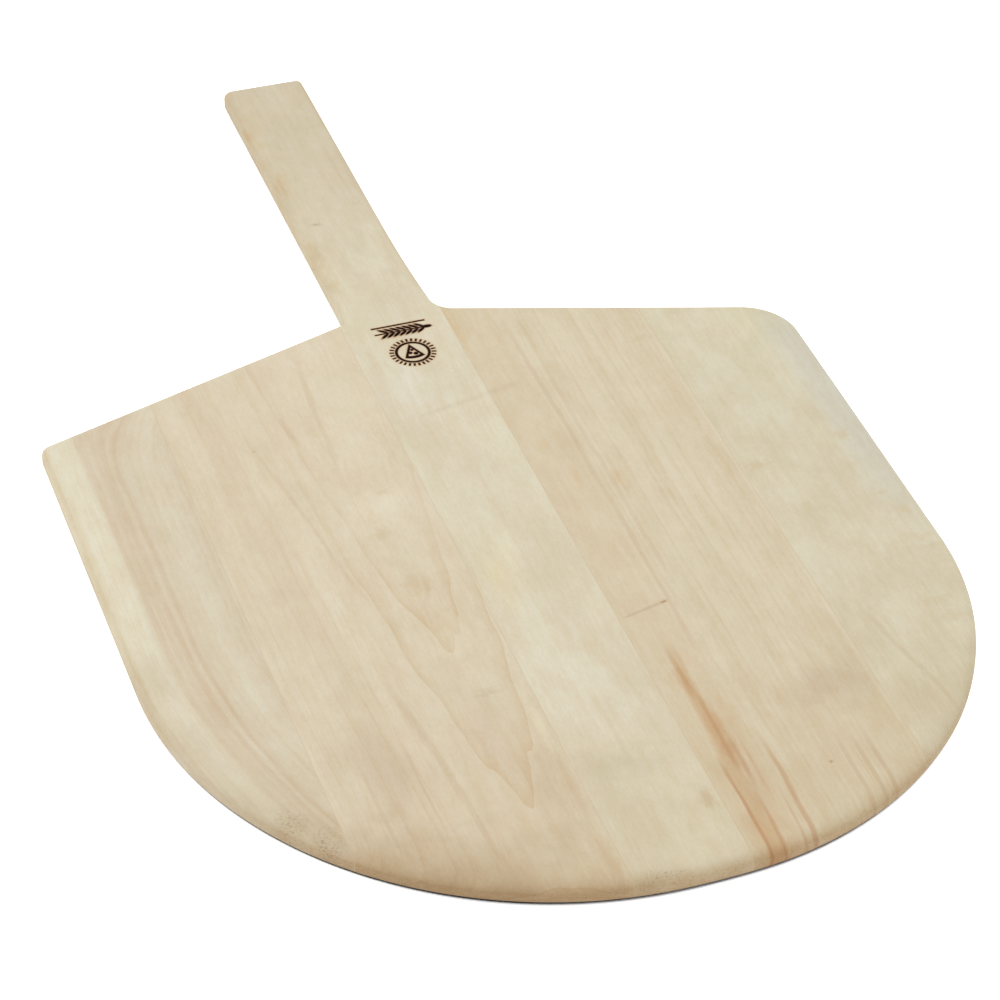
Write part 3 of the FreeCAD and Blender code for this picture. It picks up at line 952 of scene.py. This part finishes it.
def right_inner_wood():
    """Rift-sawn board of straight close lines, with a mineral streak towards the nose."""
    wood = Wood("maple_right_inner", 9, heart=(-70, -20), tilt=0.0, spacing=2.95, wander=0.6)
    wood.base(wood.ring_tint(5).smooth(0.3, 0.7), (215, 201, 174), (219, 206, 181))
    wood.lay(wood.band(0, 48, 5) * 0.5, (215, 197, 168))
    wood.patch(26, 72, 5, 30, 0.8, (211, 187, 149))
    wood.tint(wood.ring_lines(2.5) * 0.36 * wood.x.smooth(44, 60), (236, 218, 190))
    for *run, strength in ((49.4, 70, -185, 1.6, 0.21), (55.6, 80, -140, 1.6, 0.19),
                           (55.2, 78, 55, 1.8, 0.30)):
        wood.tint(wood.streak(*run) * strength, (222, 192, 158))
    for x, y in ((41.3, -52), (58.5, -59), (34.7, -27)):
        wood.patch(x, y, 3.0, 10, 0.45, (212, 184, 142), 0.9)

    # A brown patch with a sharper left side, and smaller marks.
    brown = wood.spot(92, -218, 30, 17, 0.8) * wood.point[0].smooth(62, 72)
    wood.lay(brown * 0.75, (204, 187, 160))
    wood.patch(70, -219, 4, 12, 0.4, (206, 180, 142), 0.9)
    wood.patch(106, -202, 9, 22, 0.4, (207, 190, 162), 0.9)
    wood.patch(104, 37, 7, 3.5, 0.6, (205, 186, 150), 0.9)
    wood.patch(74.9, -261, 1.2, 1.2, 0.8, (176, 152, 118), 0.4)
    for x in (82.0, 88.5, 94.0):
        wood.tint(wood.streak(x, -240, -330, 1.4) * 0.28, (214, 184, 150))
    mineral_streak(wood)
    return wood


def mineral_streak(wood):
    """A rusty stain in several strands that widens and darkens towards the nose."""
    stain, dark = (205, 174, 135), (191, 147, 102)
    wood.lay(wood.streak(37.0, -165, -250, 3.4, 0.0, 1.3) * 0.7, stain)
    wood.lay(wood.streak(38.0, -202, -330, 5.2, 0.02, 1.4) * 0.75, stain)
    wood.patch(35.5, -197, 4.5, 12, 0.6, (206, 173, 134), 1.0)
    wood.patch(40, -222, 5, 14, 0.6, (205, 170, 130), 1.0)
    wood.patch(39, -243, 5, 14, 0.6, (193, 148, 106), 0.9)
    wood.patch(45.5, -225, 5, 24, 0.3, stain, 1.0)
    wood.patch(43, -265, 17, 34, 0.35, (203, 176, 143), 1.0)
    wood.patch(36, -300, 10, 30, 0.5, stain, 0.9)
    strands = ((36.2, -172, -218, 1.5, 0.6), (38.6, -190, -262, 1.5, 0.5),
               (41.0, -228, -275, 1.6, 0.5), (32.3, -240, -330, 1.1, 0.75),
               (39.0, -262, -330, 1.2, 0.55), (53.6, -232, -330, 1.3, 0.5),
               (48.8, -262, -330, 0.9, 0.35), (44.6, -225, -280, 0.9, 0.3))
    for *run, strength in strands:
        wood.lay(wood.streak(*run, 0.012, 1.6) * strength, dark)


def right_outer_wood():
    """A cloudy, greenish-cream board of low contrast with a few brown flecks."""
    wood = Wood("maple_right_outer", 11, heart=(150, -95), tilt=-0.03, spacing=4.2, wander=6.0,
                waver=5.0)
    cloud = wood.field((24, 30, 24), detail=4, seed=4, roughness=0.6).smooth(0.3, 0.7)
    wood.base(cloud, (212, 201, 175), (219, 211, 187))
    wood.patch(138, -20, 26, 50, 0.6, (217, 209, 186))
    wood.lay(wood.ring_tint(4).smooth(0.35, 0.75) * 0.3, (214, 202, 176))
    wood.tint(wood.ring_lines(4.0) * 0.16, (238, 222, 194))
    wood.lay(wood.point[0].smooth(156, 172) * wood.y.smooth(-160, -60) * 0.9, (208, 203, 187))
    wood.patch(160, 40, 24, 22, 0.4, (216, 206, 172), 0.9)
    for fleck in ((122, -70, 9, 4.5, 0.55), (164, -61, 6, 5, 0.55), (159, -83, 6, 5, 0.3),
                  (164, -105, 3, 1.5, 0.7), (168, -118, 6, 5, 0.5), (171, -146, 7, 3, 0.4),
                  (168, -138, 9, 5, 0.5), (158, -180, 10, 4, 0.35), (161, -192, 10, 4, 0.35)):
        wood.patch(*fleck, (207, 188, 152), 1.1)
    wood.tint(wood.streak(123, -165, -260, 1.8, -0.18, 1.5) * 0.20, (222, 198, 164))
    return wood


def brand(wood):
    """Chars the wood inside the branded lines and scorches it round them."""
    distance = attribute(wood.tree, "brand_distance")
    uneven = noise(wood.point, (0.8, 0.8, 0.8), detail=2, seed=21) - 0.5
    ragged = distance + uneven * 0.25
    wood.tint(ragged.fade(-0.1, 1.2) * 0.6, (236, 190, 122))
    wood.tint(ragged.fade(0.05, 0.55) * 0.9, (140, 78, 30))
    charred = ragged.fade(-0.06, 0.20)
    wood.lay(charred, (14, 8, 5))
    gloss = charred * -0.45 + 0.5
    wood.tree.links.new(gloss.socket, wood.shader.inputs["Specular IOR Level"])


def glue_material():
    """Dried wood glue: a thin tan film, a little glossier than the wood."""
    material, tree, shader = new_material("dried_glue")
    point = position_mm(tree)
    cloudy = noise(point, (3, 6, 3), detail=3, seed=31)
    colour = blend(cloudy, srgb(178, 158, 126), srgb(192, 174, 142))
    surface(tree, shader, colour, cloudy * 0.2 + 0.35, cloudy * 0.02)
    return material


# ---------------- the whole peel

def dress(pieces):
    """Gives each board its own wood and each glue line the glue."""
    woods = dict(zip(BOARDS, (left_outer_wood(), left_inner_wood(), centre_wood(),
                              right_inner_wood(), right_outer_wood())))
    glue = glue_material()
    for node, wood in woods.items():
        if node == "centre_board":
            brand(wood)
        pieces[node].data.materials.append(wood.finish())
    for node in GLUE_LINES:
        pieces[node].data.materials.append(glue)
    for node, piece in pieces.items():
        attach(piece, "root")
        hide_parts(node)


# ---------------- studio

def build_floor():
    """A wide, plain, pale floor just under the peel, with a painted contact shadow where the peel
    shuts it in.
    """
    mesh = bpy.data.meshes.new("studio_floor")
    level = CAD_BOX[0][2] - FLOOR_GAP
    corners = [(x * FLOOR_REACH, y * FLOOR_REACH, level)
               for x, y in ((-1, -1), (1, -1), (1, 1), (-1, 1))]
    mesh.from_pydata(corners, [], [(0, 1, 2, 3)])
    floor = add_object("studio_floor", mesh)
    material, tree, shader = new_material("pale_floor")
    shader.inputs["Roughness"].default_value = 0.9
    shader.inputs["Specular IOR Level"].default_value = 0.1
    shader.inputs["Emission Color"].default_value = (1, 1, 1, 1)
    openness = tree.nodes.new("ShaderNodeAmbientOcclusion")
    openness.inputs["Distance"].default_value = OPENNESS_REACH
    open_share = Value(tree, openness.outputs["AO"]).smooth(GLOW_FROM_OPENNESS, GLOW_TO_OPENNESS)
    # Painted contact shadow: the floor's colour darkens where the peel shuts it in.
    pale_with_painted_shadow = open_share * (FLOOR_PALE - FLOOR_PAINTED_SHADOW) + FLOOR_PAINTED_SHADOW
    tree.links.new(pale_with_painted_shadow.socket, shader.inputs["Base Color"])
    seen = Value(tree, tree.nodes.new("ShaderNodeLightPath").outputs["Is Camera Ray"])
    glow = open_share * (seen * FLOOR_EXTRA_GLOW + FLOOR_GLOW)
    tree.links.new(glow.socket, shader.inputs["Emission Strength"])
    mesh.materials.append(material)


def build_soft_box():
    """A square soft box above and behind, aimed at the middle of the peel."""
    data = bpy.data.lights.new("overhead_soft_box", "AREA")
    data.size, data.energy = SOFT_BOX_SIZE, SOFT_BOX_POWER
    light = add_object("overhead_soft_box", data)
    light.location = SOFT_BOX_PLACE
    light.rotation_mode = "QUATERNION"
    light.rotation_quaternion = (-Vector(SOFT_BOX_PLACE)).to_track_quat("-Z", "Y")


def build_room():
    """Light from the whole room, dimmer from the viewer's side."""
    world = bpy.data.worlds.new("studio_room")
    world.use_nodes = True
    tree = world.node_tree
    background = tree.nodes["Background"]
    background.inputs["Color"].default_value = (1, 1, 1, 1)
    x, y, _ = axes(tree, "ShaderNodeTexCoord", "Generated")
    viewer_side = x * math.cos(DIM_AZIMUTH) + y * math.sin(DIM_AZIMUTH)
    strength = viewer_side.smooth(DIM_FROM, DIM_FULL) * -DIM_SHARE * ROOM_LIGHT + ROOM_LIGHT
    tree.links.new(strength.socket, background.inputs["Strength"])
    bpy.context.scene.world = world


def build_camera():
    """The photographer's view: from the front, a little to the left, and looking down."""
    azimuth, elevation = math.radians(CAMERA_AZIMUTH), math.radians(CAMERA_ELEVATION)
    aim = Vector((CAMERA_AIM_X, CAMERA_AIM_Y, CAD_BOX[1][2]))
    back = Vector((math.sin(azimuth) * math.cos(elevation),
                   -math.cos(azimuth) * math.cos(elevation), math.sin(elevation)))
    data = bpy.data.cameras.new("photo_camera")
    data.sensor_width = CAMERA_SENSOR
    data.lens = CAMERA_LENS
    camera = add_object("photo_camera", data)
    camera.rotation_mode = "QUATERNION"
    roll = Quaternion((0, 0, 1), math.radians(CAMERA_ROLL))
    camera.location = aim + back * CAMERA_DISTANCE
    camera.rotation_quaternion = (-back).to_track_quat("-Z", "Y") @ roll
    bpy.context.scene.camera = camera


dress(cut_pieces())
build_floor()
build_soft_box()
build_room()
build_camera()
bpy.context.scene.view_settings.view_transform = "Standard"
